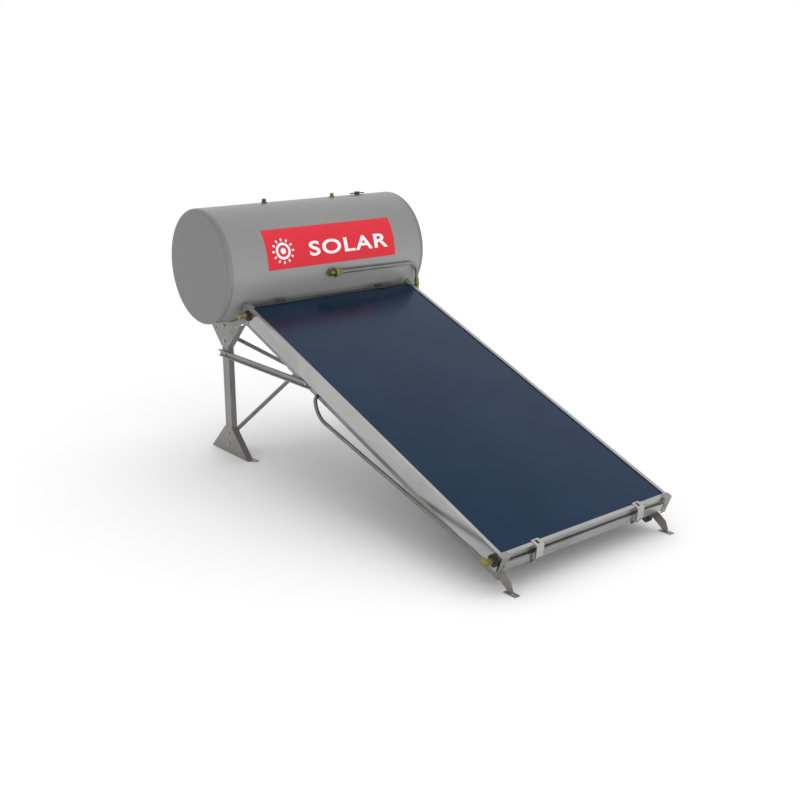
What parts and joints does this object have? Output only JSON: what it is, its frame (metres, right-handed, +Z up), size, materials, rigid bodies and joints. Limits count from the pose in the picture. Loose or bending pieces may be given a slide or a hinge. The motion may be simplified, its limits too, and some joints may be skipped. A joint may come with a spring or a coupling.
{
  "type": "solar water heater",
  "caption": "Thermosiphon solar water heater: flat-plate collector on a galvanised stand with a horizontal storage tank behind its top edge.",
  "frame": {"origin": "centre of the bounding box on the ground plane", "axes": "+X to the right seen from the collector's front, +Y from the low front edge back to the tank, +Z up"},
  "size_m": [1.218, 2.418, 1.312],
  "materials": {
    "galvanised_steel": "satin",
    "frame_aluminium": "satin",
    "solar_glass": "gloss",
    "selective_black": "satin",
    "tank_paint": "satin",
    "label_red": "gloss",
    "brass": "satin",
    "copper": "satin",
    "pipe_metal": "satin",
    "rubber": "matte",
    "zinc_bolts": "satin",
    "enamelled_steel": "gloss",
    "magnesium": "matte",
    "foam": "matte",
    "mineral_wool": "matte"
  },
  "bodies": {
    "heater": {"absorber_plate": "selective_black", "anode_rod": "magnesium", "back_sheet": "galvanised_steel", "brace_falling": "galvanised_steel", "brace_rising": "galvanised_steel", "cold_water_inlet": "brass", "collector_clamps": "galvanised_steel", "collector_insulation": "mineral_wool", "corner_brackets": "galvanised_steel", "cover_glass": "solar_glass", "filler_plug": "brass", "flange_bolts": "zinc_bolts", "flange_gasket": "rubber", "flow_elbow": "brass", "frame_end_lower": "frame_aluminium", "frame_end_upper": "frame_aluminium", "frame_side_left": "frame_aluminium", "frame_side_right": "frame_aluminium", "front_cross_rail": "galvanised_steel", "front_foot_left": "galvanised_steel", "front_foot_right": "galvanised_steel", "glass_gasket": "rubber", "header_grommets": "rubber", "header_lower": "copper", "header_plug": "brass", "header_upper": "copper", "hot_pipe": "pipe_metal", "hot_water_outlet": "brass", "inner_tank": "enamelled_steel", "primary_jacket": "enamelled_steel", "rail_extension_left": "galvanised_steel", "rail_extension_right": "galvanised_steel", "rear_foot_left": "galvanised_steel", "rear_foot_right": "galvanised_steel", "rear_post_left": "galvanised_steel", "rear_post_right": "galvanised_steel", "relief_valve_body": "brass", "return_elbow": "brass", "return_pipe": "pipe_metal", "riser_tubes": "copper", "saddle_bracket_left": "galvanised_steel", "saddle_bracket_right": "galvanised_steel", "saddle_pads": "rubber", "service_cover": "tank_paint", "service_flange": "enamelled_steel", "side_rail_left": "galvanised_steel", "side_rail_right": "galvanised_steel", "side_strut_left": "galvanised_steel", "side_strut_right": "galvanised_steel", "stand_bolts": "zinc_bolts", "tank_end_cap_left": "tank_paint", "tank_end_cap_right": "tank_paint", "tank_inlet_elbow": "brass", "tank_insulation": "foam", "tank_jacket": "tank_paint", "tank_label": "label_red", "tank_return_outlet": "brass", "upper_cross_rail": "galvanised_steel"},
    "relief_knob": {"relief_valve_knob": "brass"}
  },
  "joints": [
    {"name": "relief_knob_turn", "type": "hinge", "parent": "heater", "child": "relief_knob", "pos_m": [0.375, 0.922, 1.3], "axis": [0, 0, 1], "range_deg": [0, 90]}
  ]
}
